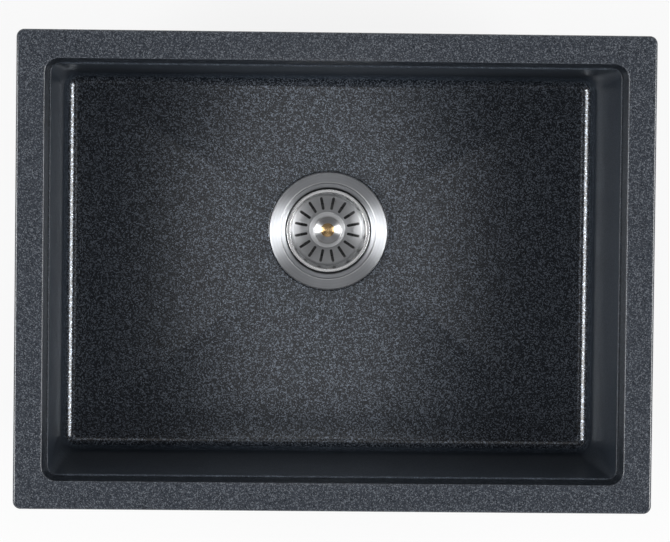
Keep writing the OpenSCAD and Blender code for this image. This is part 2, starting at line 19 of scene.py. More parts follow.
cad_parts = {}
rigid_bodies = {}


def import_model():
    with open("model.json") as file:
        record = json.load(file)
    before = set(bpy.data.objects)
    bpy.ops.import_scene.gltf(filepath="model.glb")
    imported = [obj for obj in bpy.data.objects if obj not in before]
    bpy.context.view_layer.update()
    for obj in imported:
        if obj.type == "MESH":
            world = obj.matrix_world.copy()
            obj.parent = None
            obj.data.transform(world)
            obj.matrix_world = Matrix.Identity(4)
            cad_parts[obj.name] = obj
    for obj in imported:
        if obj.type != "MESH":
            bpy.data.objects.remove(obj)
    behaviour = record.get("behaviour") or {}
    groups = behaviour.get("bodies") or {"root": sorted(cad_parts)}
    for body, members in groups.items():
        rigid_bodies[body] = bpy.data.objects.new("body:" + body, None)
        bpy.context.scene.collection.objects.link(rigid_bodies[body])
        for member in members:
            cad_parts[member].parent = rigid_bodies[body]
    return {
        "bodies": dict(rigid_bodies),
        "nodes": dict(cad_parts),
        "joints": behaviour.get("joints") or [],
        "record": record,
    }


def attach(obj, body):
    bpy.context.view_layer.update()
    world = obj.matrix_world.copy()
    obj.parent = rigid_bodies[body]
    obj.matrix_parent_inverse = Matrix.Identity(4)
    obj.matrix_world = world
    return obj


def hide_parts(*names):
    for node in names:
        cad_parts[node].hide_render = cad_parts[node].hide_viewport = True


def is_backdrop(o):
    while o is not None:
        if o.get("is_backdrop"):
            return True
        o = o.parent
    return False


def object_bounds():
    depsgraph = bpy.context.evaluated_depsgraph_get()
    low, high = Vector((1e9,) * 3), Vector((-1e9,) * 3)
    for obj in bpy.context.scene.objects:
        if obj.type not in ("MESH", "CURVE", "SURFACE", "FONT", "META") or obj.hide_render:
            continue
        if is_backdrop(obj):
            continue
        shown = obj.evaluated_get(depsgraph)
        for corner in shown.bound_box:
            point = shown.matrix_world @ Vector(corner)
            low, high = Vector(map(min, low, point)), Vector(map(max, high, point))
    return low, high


LOG = logging.getLogger("sink")
MM = 0.001
UP = Vector((0.0, 0.0, 1.0))
ORIGIN = (0.0, 0.0, 0.0)
DRAIN = Vector((0.0, 32.0, -202.0))  # the drain's axis at the height of the floor beside it
RIM_TOP = 10.0
NOISE_SPAN = (0.3, 0.7)  # nearly all of a noise's values lie between these

Colour = tuple[float, float, float]
Point = tuple[float, float, float]
Corner = tuple[float, float, float]  # radius from the axis, height, rounding
Level = tuple[float, float, float]  # inset from the mouth's outline, height, corner radius
Socket = bpy.types.NodeSocket
Vert = bmesh.types.BMVert
Edge = bmesh.types.BMEdge
Face = bmesh.types.BMFace


class Slot(Enum):
    """Material slots of the record."""

    COMPOSITE = "composite"
    BRUSHED_STEEL = "brushed_steel"
    POLISHED_STEEL = "polished_steel"
    PLAIN_STEEL = "plain_steel"
    BRASS = "brass"
    RUBBER = "rubber"
    BLACK_PLASTIC = "black_plastic"
    NYLON = "nylon"


class Body(Enum):
    """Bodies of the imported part."""

    SINK = "sink"
    CATCH = "catch"
    BASKET = "basket"


def ends(edges: list[Edge]) -> list[Vert]:
    """Returns the vertices of edges, each once, in the order of the edges."""
    return list(dict.fromkeys(vert for edge in edges for vert in edge.verts))


def placed(name: str, data: bpy.types.ID) -> bpy.types.Object:
    """Puts an object with some data into the scene.

    Args:
        name: The object's name.
        data: Its mesh, lamp or camera.

    Returns:
        The object.
    """
    thing = bpy.data.objects.new(name, data)
    bpy.context.scene.collection.objects.link(thing)
    return thing


class Graph:
    """A node tree, with short calls to add and link nodes."""

    def __init__(self, owner: bpy.types.Material | bpy.types.World, output: str) -> None:
        """Starts an empty tree.

        Args:
            owner: The material or world that has the tree.
            output: Type name of its output node.
        """
        owner.use_nodes = True
        self.tree = owner.node_tree
        self.tree.nodes.clear()
        self.surface = self.add(output).inputs["Surface"]

    def put(self, value: object, socket: Socket) -> None:
        """Links a source to a socket, or sets the value there.

        Args:
            value: The source's socket, or the value.
            socket: The socket that gets it.
        """
        if isinstance(value, Socket):
            self.tree.links.new(value, socket)
        else:
            socket.default_value = (*value, 1.0) if socket.type == "RGBA" else value

    def add(self, kind: str, **settings: object) -> bpy.types.Node:
        """Adds a node.

        Args:
            kind: The node's type name.
            settings: Its properties, and its sockets with their values or sources.

        Returns:
            The new node.
        """
        node = self.tree.nodes.new(kind)
        for key, value in settings.items():
            if hasattr(node, key):
                setattr(node, key, value)
            else:
                self.put(value, node.inputs[key.replace("_", " ")])
        return node

    def place(self, centre: Vector = Vector(ORIGIN)) -> Socket:
        """Object coordinates about a centre.

        Args:
            centre: The centre, in millimetres.

        Returns:
            The coordinates' socket.
        """
        coords = self.add("ShaderNodeTexCoord").outputs["Object"]
        mapping = self.add("ShaderNodeMapping", Vector=coords, Location=-centre * MM)
        return mapping.outputs["Vector"]

    def math(self, operation: str, a: object, b: object, clamp: bool = False) -> Socket:
        """A Math node.

        Args:
            operation: The operation's name.
            a: A socket or a number.
            b: A socket or a number.
            clamp: Whether the result stays between 0 and 1.

        Returns:
            The result's socket.
        """
        node = self.add("ShaderNodeMath", operation=operation, use_clamp=clamp)
        self.put(a, node.inputs[0])
        self.put(b, node.inputs[1])
        return node.outputs["Value"]

    def noise(self, vector: Socket, scale: float, detail: float = 2.0,
              roughness: float = 0.5) -> Socket:
        """A Noise Texture's value, at so many features per metre."""
        return self.add("ShaderNodeTexNoise", Vector=vector, Scale=scale, Detail=detail,
                        Roughness=roughness).outputs["Fac"]

    def span(self, value: Socket, low: float, high: float, to_low: float = 0.0,
             to_high: float = 1.0) -> Socket:
        """Maps a value's range from low to high onto another, and holds it inside."""
        return self.add("ShaderNodeMapRange", clamp=True, Value=value, From_Min=low, From_Max=high,
                        To_Min=to_low, To_Max=to_high).outputs["Result"]

    def blend(self, share: Socket, first: object, second: object) -> Socket:
        """Mixes two colours.

        Args:
            share: The second colour's share.
            first: A socket or a colour.
            second: A socket or a colour.

        Returns:
            The mixed colour's socket.
        """
        node = self.add("ShaderNodeMix", data_type="RGBA")
        for index, value in ((0, share), (6, first), (7, second)):
            self.put(value, node.inputs[index])
        return node.outputs[2]


class Coating(Graph):
    """A material's node tree round its principled shader."""

    def __init__(self, name: str) -> None:
        """Starts a material.

        Args:
            name: The material's name.
        """
        self.material = bpy.data.materials.new(name)
        super().__init__(self.material, "ShaderNodeOutputMaterial")
        self.shader = self.add("ShaderNodeBsdfPrincipled")
        self.put(self.shader.outputs["BSDF"], self.surface)

    def set(self, **values: object) -> None:
        """Sets or links the shader's sockets."""
        for key, value in values.items():
            self.put(value, self.shader.inputs[key.replace("_", " ")])

    def tint(self, colour: Colour, share: Socket) -> None:
        """Makes a share of a colour the base colour."""
        shade = self.add("ShaderNodeVectorMath", operation="SCALE", Vector=colour, Scale=share)
        self.set(Base_Color=shade.outputs["Vector"])

    def sway(self, noise: Socket, middle: float, reach: float) -> None:
        """Lets the roughness vary about a middle."""
        self.set(Roughness=self.span(noise, *NOISE_SPAN, middle - reach, middle + reach))

    def bump(self, height: Socket, depth: float, strength: float) -> None:
        """Gives the surface relief, whose depth is in metres."""
        node = self.add("ShaderNodeBump", Height=height, Distance=depth, Strength=strength)
        self.set(Normal=node.outputs["Normal"])


@dataclass(frozen=True)
class CompositeFinish:
    """Moulded quartz composite: a dark matrix full of fine grains, pale and dark."""

    name: str = "quartz_composite"
    slot: Slot = Slot.COMPOSITE
    matrix: Colour = (0.011, 0.015, 0.021)
    pale: Colour = (0.17, 0.20, 0.24)
    dark: Colour = (0.003, 0.004, 0.0055)
    pale_from: float = 0.62
    dark_from: float = 0.55
    grain_scale: float = 1050.0
    coarse_scale: float = 260.0
    roughness: float = 0.145
    clouding: float = 0.2
    flakes: float = 0.0
    relief: float = 0.00005
    refraction: float = 1.6

    def make(self) -> bpy.types.Material:
        """Builds the nodes, in which every grain is a cell with its own shade and gloss.

        Returns:
            The material.
        """
        graph = Coating(self.name)
        place = graph.place()
        cells = graph.add("ShaderNodeTexVoronoi", Vector=place, Scale=self.grain_scale)
        chance = graph.add("ShaderNodeSeparateColor", Color=cells.outputs["Color"]).outputs
        clouds = graph.span(graph.noise(place, self.coarse_scale, 3.0, 0.7), *NOISE_SPAN,
                            1.0 - self.clouding, 1.0)
        pale_share = graph.math("MULTIPLY", graph.span(chance["Red"], self.pale_from, 1.0), clouds)
        dark_share = graph.span(chance["Green"], self.dark_from, 1.0)
        ground = graph.blend(dark_share, self.matrix, self.dark)
        graph.set(Base_Color=graph.blend(pale_share, ground, self.pale), IOR=self.refraction,
                  Metallic=graph.math("MULTIPLY", pale_share, self.flakes),
                  Roughness=graph.span(chance["Blue"], 0.0, 1.0, self.roughness - 0.02,
                                       self.roughness + 0.05))
        graph.bump(graph.noise(place, 1.5 * self.grain_scale, 2.0, 0.6), self.relief, 0.4)
        return graph.material


@dataclass(frozen=True)
class TurnedMetalFinish:
    """Metal brushed in circles about the drain's axis."""

    name: str
    slot: Slot
    colour: Colour
    roughness: float
    stretch: float
    ring_scale: float = 1400.0
    ring_depth: float = 0.00001
    smudge_scale: float = 60.0

    def make(self) -> bpy.types.Material:
        """Builds the nodes, which draw fine rings about the axis and turn the glints with them.

        Returns:
            The material.
        """
        graph = Coating(self.name)
        place = graph.place(DRAIN)
        parts = graph.add("ShaderNodeSeparateXYZ", Vector=place).outputs
        flat = graph.add("ShaderNodeCombineXYZ", X=parts["X"], Y=parts["Y"]).outputs["Vector"]
        radius = graph.add("ShaderNodeVectorMath", operation="LENGTH", Vector=flat)
        outward = graph.add("ShaderNodeVectorMath", operation="NORMALIZE", Vector=flat)
        world = graph.add("ShaderNodeVectorTransform", vector_type="VECTOR", convert_from="OBJECT",
                          convert_to="WORLD", Vector=outward.outputs["Vector"])
        rings = graph.add("ShaderNodeCombineXYZ", X=radius.outputs["Value"], Y=parts["Z"])
        grooves = graph.noise(rings.outputs["Vector"], self.ring_scale, 3.0, 0.7)
        smudge = graph.span(graph.noise(place, self.smudge_scale), *NOISE_SPAN,
                            self.roughness - 0.02, self.roughness + 0.02)
        rough = graph.math("ADD", graph.span(grooves, 0.2, 0.8, -0.05, 0.05), smudge)
        graph.tint(self.colour, graph.span(grooves, 0.25, 0.75, 0.8, 1.0))
        graph.set(Tangent=world.outputs["Vector"], Roughness=rough, Metallic=1.0,
                  Anisotropic=self.stretch)
        graph.bump(grooves, self.ring_depth, 0.5)
        return graph.material


@dataclass(frozen=True)
class PlainMetalFinish:
    """Rolled or stamped metal without a grain."""

    name: str
    slot: Slot
    colour: Colour
    roughness: float = 0.35
    patch_scale: float = 140.0
    grain_scale: float = 2600.0
    relief: float = 0.00001

    def make(self) -> bpy.types.Material:
        """Builds the nodes, which cloud the colour and the gloss a little.

        Returns:
            The material.
        """
        graph = Coating(self.name)
        place = graph.place(DRAIN)
        patches = graph.noise(place, self.patch_scale, 3.0, 0.6)
        graph.tint(self.colour, graph.span(patches, *NOISE_SPAN, 0.9, 1.0))
        graph.sway(patches, self.roughness, 0.06)
        graph.set(Metallic=1.0)
        graph.bump(graph.noise(place, self.grain_scale), self.relief, 0.3)
        return graph.material


@dataclass(frozen=True)
class MouldedFinish:
    """Moulded rubber or plastic with a fine satin texture."""

    name: str
    slot: Slot
    colour: Colour
    roughness: float
    patch_scale: float = 45.0
    grain_scale: float = 1500.0
    relief: float = 0.00003

    def make(self) -> bpy.types.Material:
        """Builds the nodes, which give the colour and the gloss soft patches.

        Returns:
            The material.
        """
        graph = Coating(self.name)
        place = graph.place(DRAIN)
        patches = graph.noise(place, self.patch_scale, 3.0, 0.6)
        lighter = tuple(min(1.0, 1.25 * part + 0.004) for part in self.colour)
        graph.set(Base_Color=graph.blend(graph.span(patches, 0.35, 0.75), self.colour, lighter))
        graph.sway(patches, self.roughness, 0.05)
        graph.bump(graph.noise(place, self.grain_scale, 2.0, 0.6), self.relief, 0.4)
        return graph.material


Finish = CompositeFinish | TurnedMetalFinish | PlainMetalFinish | MouldedFinish


class Finishes:
    """Makes each finish once and hands out its material."""

    composite = CompositeFinish(pale=(0.27, 0.31, 0.37), flakes=0.9)
    # Copy of the composite for the walls and the ledge, with a rougher gloss and a tone set to how
    # they are lit: painted shading.
    wall_composite_painted_shading = CompositeFinish("wall_composite_painted_shading", matrix=(0.023, 0.030, 0.042),
                                     pale=(0.09, 0.11, 0.135), dark=(0.011, 0.015, 0.020),
                                     roughness=0.3, refraction=1.45)
    # Darker copy of the composite for the lip, with a rougher gloss: painted shade.
    lip_composite_painted_shade = CompositeFinish("lip_composite_painted_shade", matrix=(0.010, 0.013, 0.018),
                                    pale=(0.06, 0.07, 0.085), dark=(0.004, 0.005, 0.007),
                                    roughness=0.35, refraction=1.27)
    # Lighter copy of the composite for the rim's top: painted light.
    rim_composite_painted_light = CompositeFinish("rim_composite_painted_light", matrix=(0.040, 0.0465, 0.058),
                                    pale=(0.165, 0.18, 0.205), dark=(0.016, 0.0185, 0.023),
                                    grain_scale=1150.0, clouding=0.25)
    rough_composite = CompositeFinish("unpolished_composite", roughness=0.55, relief=0.0003,
                                      coarse_scale=90.0)
    flange_steel = TurnedMetalFinish("circular_brushed_steel", Slot.BRUSHED_STEEL,
                                     (0.73, 0.75, 0.78), roughness=0.40, stretch=0.9)
    basket_steel = TurnedMetalFinish("brushed_basket_steel", Slot.BRUSHED_STEEL,
                                     (0.74, 0.75, 0.765), roughness=0.45, stretch=0.93)
    # Brighter steel for the flange's bend and the knob's foot: a painted highlight, with a
    # rougher, less brushed gloss.
    satin_steel_painted_highlight = TurnedMetalFinish("step_steel_painted_highlight", Slot.BRUSHED_STEEL,
                                    (0.90, 0.91, 0.925), roughness=0.45, stretch=0.4)
    # Darkened, rough steel for the inside of the cup: painted shade.
    inner_steel_painted_shade = PlainMetalFinish("rough_cup_steel_painted_shade", Slot.BRUSHED_STEEL,
                                   (0.26, 0.26, 0.265), roughness=0.5)
    rolled_steel = TurnedMetalFinish("polished_rolled_rim", Slot.BRUSHED_STEEL,
                                     (0.90, 0.905, 0.91), roughness=0.26, stretch=0.0)
    knob_steel = TurnedMetalFinish("turned_bright_steel", Slot.POLISHED_STEEL,
                                   (0.84, 0.85, 0.865), roughness=0.34, stretch=0.8)
    turned_brass = TurnedMetalFinish("turned_brass", Slot.BRASS, (0.88, 0.60, 0.30),
                                     roughness=0.26, stretch=0.6)
    plain_steel = PlainMetalFinish("rolled_steel", Slot.PLAIN_STEEL, (0.55, 0.56, 0.57))
    plain_brass = PlainMetalFinish("cut_brass", Slot.BRASS, (0.78, 0.57, 0.32), roughness=0.32)
    rubber = MouldedFinish("black_rubber", Slot.RUBBER, (0.018, 0.018, 0.019), 0.62)
    plastic = MouldedFinish("black_plastic", Slot.BLACK_PLASTIC, (0.032, 0.033, 0.036), 0.42)
    nylon = MouldedFinish("natural_nylon", Slot.NYLON, (0.80, 0.79, 0.74), 0.45)

    def __init__(self) -> None:
        """Starts with no material made."""
        self.made: dict[str, bpy.types.Material] = {}

    def material(self, finish: Finish) -> bpy.types.Material:
        """Hands out a finish's material, made at its first use.

        Args:
            finish: The finish.

        Returns:
            Its material.
        """
        if finish.name not in self.made:
            self.made[finish.name] = finish.make()
        return self.made[finish.name]


class Blank:
    """A mesh in the making, in millimetres, which bmesh operators shape."""

    def __init__(self) -> None:
        """Starts an empty mesh."""
        self.bm = bmesh.new()

    def line(self, corners: list[Corner], closed: bool) -> list[Edge]:
        """Lays a line in the XZ plane and rounds its corners.

        Args:
            corners: X, Z and rounding radius of each corner.
            closed: Whether the last corner joins the first.

        Returns:
            The line's edges.
        """
        bm = self.bm
        start = set(bm.edges)
        verts = [bm.verts.new((x, 0.0, z)) for x, z, _ in corners]
        pairs = list(zip(verts, verts[1:]))
        if closed:
            pairs.append((verts[-1], verts[0]))
        for pair in pairs:
            bm.edges.new(pair)
        for vert, (_, _, radius) in zip(verts, corners):
            if radius <= 0.0:
                continue
            ways = [(edge.other_vert(vert).co - vert.co).normalized() for edge in vert.link_edges]
            bend = math.pi - ways[0].angle(ways[1])
            bmesh.ops.bevel(bm, geom=[vert], offset=radius * math.tan(bend / 2.0),
                            offset_type="OFFSET", segments=max(2, round(bend / 0.16)),
                            profile=0.5, affect="VERTICES", clamp_overlap=False, material=-1)
        return [edge for edge in bm.edges if edge not in start]

    def turn(self, corners: list[Corner], closed: bool = True, steps: int = 128) -> "Blank":
        """Turns a line about the Z axis.

        Args:
            corners: Radius, height and rounding of each corner.
            closed: Whether the line is closed.
            steps: Steps of the full turn.

        Returns:
            This blank.
        """
        edges = self.line(corners, closed)
        bmesh.ops.spin(self.bm, geom=ends(edges) + edges, cent=ORIGIN, axis=UP, dvec=ORIGIN,
                       angle=2.0 * math.pi, steps=steps, use_merge=True,
                       use_normal_flip=False, use_duplicate=False)
        self.tidy()
        return self

    def twist(self, verts: list[Vert], angle: float) -> None:
        """Turns vertices about the Z axis."""
        bmesh.ops.rotate(self.bm, cent=ORIGIN, matrix=Matrix.Rotation(angle, 3, "Z"), verts=verts)

    def thread(self, core_r: float, crest_r: float, pitch: float, low: float,
               turns: float) -> None:
        """Winds one thread ridge round a core.

        Args:
            core_r: Radius at the ridge's foot.
            crest_r: Radius at its crest.
            pitch: Rise of one turn.
            low: Height of the lower end.
            turns: Number of turns.
        """
        bm = self.bm
        edges = self.line([(core_r, low, 0.0), (crest_r, low + 0.42 * pitch, 0.0),
                           (crest_r, low + 0.5 * pitch, 0.0), (core_r, low + 0.92 * pitch, 0.0)],
                          closed=True)
        first = bm.edges[:]
        steps = round(48 * turns)
        bmesh.ops.spin(bm, geom=ends(edges) + edges, cent=ORIGIN, axis=UP,
                       dvec=(0.0, 0.0, pitch * turns / steps), angle=2.0 * math.pi * turns,
                       steps=steps, use_merge=False, use_normal_flip=False, use_duplicate=False)
        open_edges = [edge for edge in bm.edges if edge.is_boundary and edge not in first] + edges
        bmesh.ops.holes_fill(bm, edges=[edge for edge in open_edges if edge.is_valid], sides=4)

    def rectangle(self, half_x: float, half_y: float, radius: float, z: float,
                  cuts: tuple[int, int], segments: int = 10) -> list[Edge]:
        """Lays a level rectangle with round corners.

        Args:
            half_x: Half its size in X.
            half_y: Half its size in Y.
            radius: Corner radius.
            z: Height.
            cuts: Cuts along the sides in X and in Y.
            segments: Segments of a corner.

        Returns:
            Its edges.
        """
        bm = self.bm
        verts = bmesh.ops.create_grid(bm, x_segments=1, y_segments=1, size=1.0)["verts"]
        bmesh.ops.scale(bm, vec=(half_x, half_y, 1.0), verts=verts)
        bmesh.ops.translate(bm, vec=(0.0, 0.0, z), verts=verts)
        rounded = bmesh.ops.bevel(bm, geom=verts, offset=radius, offset_type="OFFSET",
                                  segments=segments, profile=0.5, affect="VERTICES",
                                  clamp_overlap=False, material=-1)
        face = max((face for vert in rounded["verts"] for face in vert.link_faces),
                   key=lambda face: len(face.verts))
        edges = list(face.edges)
        bmesh.ops.delete(bm, geom=[face], context="FACES_ONLY")
        straight = sorted(edges, key=lambda edge: edge.calc_length(), reverse=True)[:4]
        others = [edge for edge in edges if edge not in straight]
        for edge in straight:
            along_x = abs(edge.verts[0].co.y - edge.verts[1].co.y) < 1e-6
            parts = bmesh.ops.subdivide_edges(bm, edges=[edge], cuts=cuts[0 if along_x else 1])
            others += [part for part in parts["geom_inner"] + parts["geom_split"]
                       if isinstance(part, Edge)]
        return list(dict.fromkeys(edge for edge in others if edge.is_valid))

    def skin(self, loops: list[list[Edge]], heights: list[float]) -> None:
        """Joins loops to one closed skin, and lays each at its height.

        Loops of one height can't be told apart by the bridging, so they come stacked, one
        above the other, and are lowered when they are joined.

        Args:
            loops: The loops, in order; the last is joined to the first.
            heights: Their heights.
        """
        rows = [ends(loop) for loop in loops]
        for loop, follower in zip(loops, loops[1:] + loops[:1]):
            bmesh.ops.bridge_loops(self.bm, edges=loop + follower)
        for row, height in zip(rows, heights):
            bmesh.ops.translate(self.bm, vec=(0.0, 0.0, height - row[0].co.z), verts=row)

    def block(self, size: Vector, centre: Vector, edge_r: float, turn: float) -> None:
        """Adds a block with rounded edges.

        Args:
            size: Its lengths along X, Y and Z.
            centre: Its centre.
            edge_r: Rounding of its edges.
            turn: Angle about the Z axis, in degrees, applied after its centre is placed.
        """
        bm = self.bm
        verts = bmesh.ops.create_cube(bm, size=1.0)["verts"]
        bmesh.ops.scale(bm, vec=size, verts=verts)
        bmesh.ops.translate(bm, vec=centre, verts=verts)
        self.twist(verts, math.radians(turn))
        edges = list(dict.fromkeys(edge for vert in verts for edge in vert.link_edges))
        bmesh.ops.bevel(bm, geom=edges, offset=edge_r, offset_type="OFFSET", segments=2,
                        profile=0.5, affect="EDGES", clamp_overlap=True, material=-1)

    def plate(self, corners: list[Corner], thickness: float, turn: float) -> None:
        """Adds a flat plate that stands on edge and runs out from the axis.

        Args:
            corners: Radius, height and rounding of each corner of its outline.
            thickness: Its thickness.
            turn: Angle about the Z axis, in degrees.
        """
        bm = self.bm
        edges = self.line(corners, closed=True)
        filled = bmesh.ops.edgeloop_fill(bm, edges=edges)["faces"]
        raised = bmesh.ops.extrude_face_region(bm, geom=filled)["geom"]
        top = [part for part in raised if isinstance(part, Vert)]
        bmesh.ops.translate(bm, vec=(0.0, thickness, 0.0), verts=top)
        verts = ends(edges) + top
        bmesh.ops.translate(bm, vec=(0.0, -thickness / 2.0, 0.0), verts=verts)
        self.twist(verts, math.radians(turn))

    def tidy(self) -> None:
        """Merges doubles and turns the faces outwards."""
        bmesh.ops.remove_doubles(self.bm, verts=self.bm.verts[:], dist=0.002)
        bmesh.ops.recalc_face_normals(self.bm, faces=self.bm.faces[:])

    def sheet(self, thickness: float) -> None:
        """Gives an open surface seen from above its thickness, on its under side.

        Args:
            thickness: The sheet's thickness.
        """
        bm = self.bm
        self.tidy()
        top = max(bm.faces, key=lambda face: abs(face.normal.z) * face.calc_area())
        if top.normal.z < 0.0:
            bmesh.ops.reverse_faces(bm, faces=bm.faces[:])
        bmesh.ops.solidify(bm, geom=bm.faces[:], thickness=thickness)

    def join(self, other: "Blank") -> None:
        """Takes another blank's mesh in.

        Args:
            other: The blank, which is used up.
        """
        mesh = bpy.data.meshes.new("joining")
        other.bm.to_mesh(mesh)
        other.bm.free()
        self.bm.from_mesh(mesh)
        bpy.data.meshes.remove(mesh)


class Workshop:
    """Finishes blanks into pieces of the scene and dresses solids."""

    def __init__(self, frame: dict[str, object], finishes: Finishes) -> None:
        self.frame = frame
        self.finishes = finishes

    def piece(self, blank: Blank, name: str, body: Body, finish: Finish, node: str,
              offset: Vector = DRAIN, smooth_to: float = 32.0,
              others: tuple[tuple[Finish, Callable[[Face], bool]], ...] = ()) -> None:
        """Makes a blank a finished piece that stands for a solid.

        Args:
            blank: The blank, which is used up.
            name: The piece's name.
            body: The body on which it rides.
            finish: Its finish.
            node: The solid that it stands for.
            offset: Where its own origin lies, in millimetres.
            smooth_to: Bends up to this many degrees are shaded smooth.
            others: Other finishes, each with the test for the faces that get it.
        """
        bm = blank.bm
        for index, (_, test) in enumerate(others, start=1):
            for face in filter(test, bm.faces):
                face.material_index = index
        bmesh.ops.translate(bm, vec=offset, verts=bm.verts[:])
        bmesh.ops.scale(bm, vec=(MM, MM, MM), verts=bm.verts[:])
        mesh = bpy.data.meshes.new(name)
        bm.to_mesh(mesh)
        bm.free()
        mesh.shade_smooth()
        mesh.set_sharp_from_angle(angle=math.radians(smooth_to))
        for each in (finish, *(other for other, _ in others)):
            mesh.materials.append(self.finishes.material(each))
        piece = placed(name, mesh)
        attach(piece, body.value)
        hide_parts(node)
        LOG.info("%s: %d faces in place of %s", name, len(mesh.polygons), node)

    def dress(self, node: str, finish: Finish) -> None:
        """Gives a solid that stays its material.

        Args:
            node: The solid's name.
            finish: Its finish.
        """
        solid = self.frame["nodes"][node]
        solid.data.materials.clear()
        solid.data.materials.append(self.finishes.material(finish))
        LOG.info("%s: dressed in %s", node, finish.slot.value)


@dataclass
class Assembly:
    """A sub-assembly of the part, which the workshop finishes."""

    shop: Workshop


@dataclass
class Bowl(Assembly):
    """The composite moulding: rim, lip, ledge, walls, coved floor, seat and boss."""

    mouth_x: float = 278.0
    mouth_y: float = 201.5
    mouth_r: float = 14.0
    mouth_edge_r: float = 1.3
    rim_w: float = 27.0
    rim_r: float = 7.5
    rim_edge_r: float = 2.2
    lip_h: float = 16.0
    lip_run: float = 4.0
    ledge_w: float = 1.8
    ledge_edge_r: float = 1.0
    depth: float = 208.0
    fall: float = 4.0
    draft: float = 2.5
    cove_r: float = 14.0
    polished_h: float = 4.0
    floor_r: float = 1.2
    wall_t: float = 8.0
    floor_t: float = 9.0
    root_r: float = 5.0
    level_r: float = 65.7
    seat_r: float = 59.7
    seat_u: float = -3.0
    hole_r: float = 45.0
    boss_r: float = 61.0
    boss_root_r: float = 63.0
    boss_h: float = 8.0
    cuts: tuple[int, int] = (24, 18)
    floor_shares: tuple[float, ...] = (0.04, 0.12, 0.22, 0.34, 0.48, 0.62, 0.76, 0.9)
    wall_shares: tuple[float, ...] = (0.01, 0.25, 0.5, 0.75, 0.99)
    lip_shares: tuple[float, ...] = (0.03, 0.5, 0.97)
    outer_shares: tuple[float, ...] = (0.01, 0.35, 0.65, 0.99)
    fall_ease: float = 1.7
    loop_gap: float = 0.6
    stack_rise: float = 50.0
    break_w: float = 0.5
    ledge_margin: float = 0.04

    def arc(self, inset: float, z: float, radius: float, start: float, end: float,
            steps: int) -> list[tuple[float, float]]:
        """Insets and heights round a centre, from one angle in degrees to another."""
        angles = [math.radians(start + (end - start) * i / steps) for i in range(steps + 1)]
        return [(inset + radius * math.cos(a), z + radius * math.sin(a)) for a in angles]

    def edge(self, inset: float, top: float, lean: float, radius: float) -> list[Level]:
        """A rounded edge between a level face and a wall below it that leans in.

        Args:
            inset: Inset where face and wall would meet.
            top: Height of the level face.
            lean: Lean of the wall, in degrees.
            radius: Rounding.

        Returns:
            Its levels, from the wall up.
        """
        lean_rad = math.radians(lean)
        centre = inset + radius * math.tan(lean_rad) - radius / math.cos(lean_rad)
        return self.levels(self.arc(centre, top - radius, radius, lean, 90.0, 6), self.mouth_r)

    def levels(self, pairs: list[tuple[float, float]], corner_r: float) -> list[Level]:
        """Gives insets and heights their corner radius, which is corner_r at no inset."""
        return [(inset, z, corner_r - inset) for inset, z in pairs]

    def between(self, first: Level, last: Level, shares: tuple[float, ...]) -> list[Level]:
        """Levels at given shares of the way from one level to another."""
        return [tuple(a + (b - a) * share for a, b in zip(first, last)) for share in shares]

    def foot_in(self) -> float:
        """Works out where the wall ends and the cove begins.

        Returns:
            The inset there.
        """
        lean = math.radians(self.draft)
        ledge_z = RIM_TOP - self.lip_h
        foot_z = RIM_TOP - self.depth + self.cove_r * (1.0 - math.sin(lean))
        return self.lip_run + self.ledge_w + (ledge_z - foot_z) * math.tan(lean)

    def inner_levels(self) -> list[Level]:
        """Levels of the inside.

        Returns:
            The levels, from the floor's edge up to the rim.
        """
        ledge_z = RIM_TOP - self.lip_h
        cove_in = self.foot_in() + self.cove_r * math.cos(math.radians(self.draft))
        levels = self.levels(self.arc(cove_in, RIM_TOP - self.depth + self.cove_r, self.cove_r,
                                      270.0, 180.0 + self.draft, 16), self.floor_r + cove_in)
        wall = self.edge(self.lip_run + self.ledge_w, ledge_z, self.draft, self.ledge_edge_r)
        levels += self.between(levels[-1], wall[0], self.wall_shares) + wall
        root = self.lip_run  # three loops hold the corner between ledge and lip
        levels += [(root + 0.5, ledge_z, self.mouth_r - root - 0.5),
                   (root + 0.15, ledge_z + 0.05, self.mouth_r - root),
                   (root - 0.03, ledge_z + 0.3, self.mouth_r - root)]
        lean = math.degrees(math.atan(self.lip_run / self.lip_h))
        lip = self.edge(0.0, RIM_TOP, lean, self.mouth_edge_r)
        return levels + self.between(levels[-1], lip[0], self.lip_shares) + lip

    def rim_levels(self) -> list[Level]:
        """Levels of the rim.

        Returns:
            The levels, over its top and down its outer edge to its under side.
        """
        centre = self.rim_edge_r - self.rim_w
        top = self.arc(centre, RIM_TOP - self.rim_edge_r, self.rim_edge_r, 90.0, 180.0, 6)
        under = self.arc(centre, self.rim_edge_r, self.rim_edge_r, 180.0, 270.0, 6)
        return (self.levels([(-self.mouth_edge_r - self.loop_gap, RIM_TOP)], self.mouth_r)
                + self.levels([(centre + self.loop_gap, RIM_TOP), *top, *under],
                              self.rim_r - self.rim_w))

    def outer_levels(self) -> list[Level]:
        """Levels of the outside.

        Returns:
            The levels, from the rim's root down to the floor's under side.
        """
        top_in = self.lip_run * RIM_TOP / self.lip_h - self.wall_t
        floor_z = RIM_TOP - self.depth
        draft = math.atan((self.foot_in() - self.wall_t - top_in) / -floor_z)
        lean = math.degrees(draft)
        root = top_in + self.root_r * math.tan(draft) - self.root_r / math.cos(draft)
        levels = self.levels([(root - self.loop_gap, 0.0),
                              *self.arc(root, -self.root_r, self.root_r, 90.0, lean, 8)],
                             self.mouth_r)
        bottom_r = self.cove_r + self.wall_t
        centre_z = floor_z - self.floor_t + bottom_r
        centre_in = top_in - centre_z * math.tan(draft) + bottom_r / math.cos(draft)
        bottom = self.levels(self.arc(centre_in, centre_z, bottom_r, 180.0 + lean, 270.0, 12),
                             self.floor_r + centre_in)
        return levels + self.between(levels[-1], bottom[0], self.outer_shares) + bottom

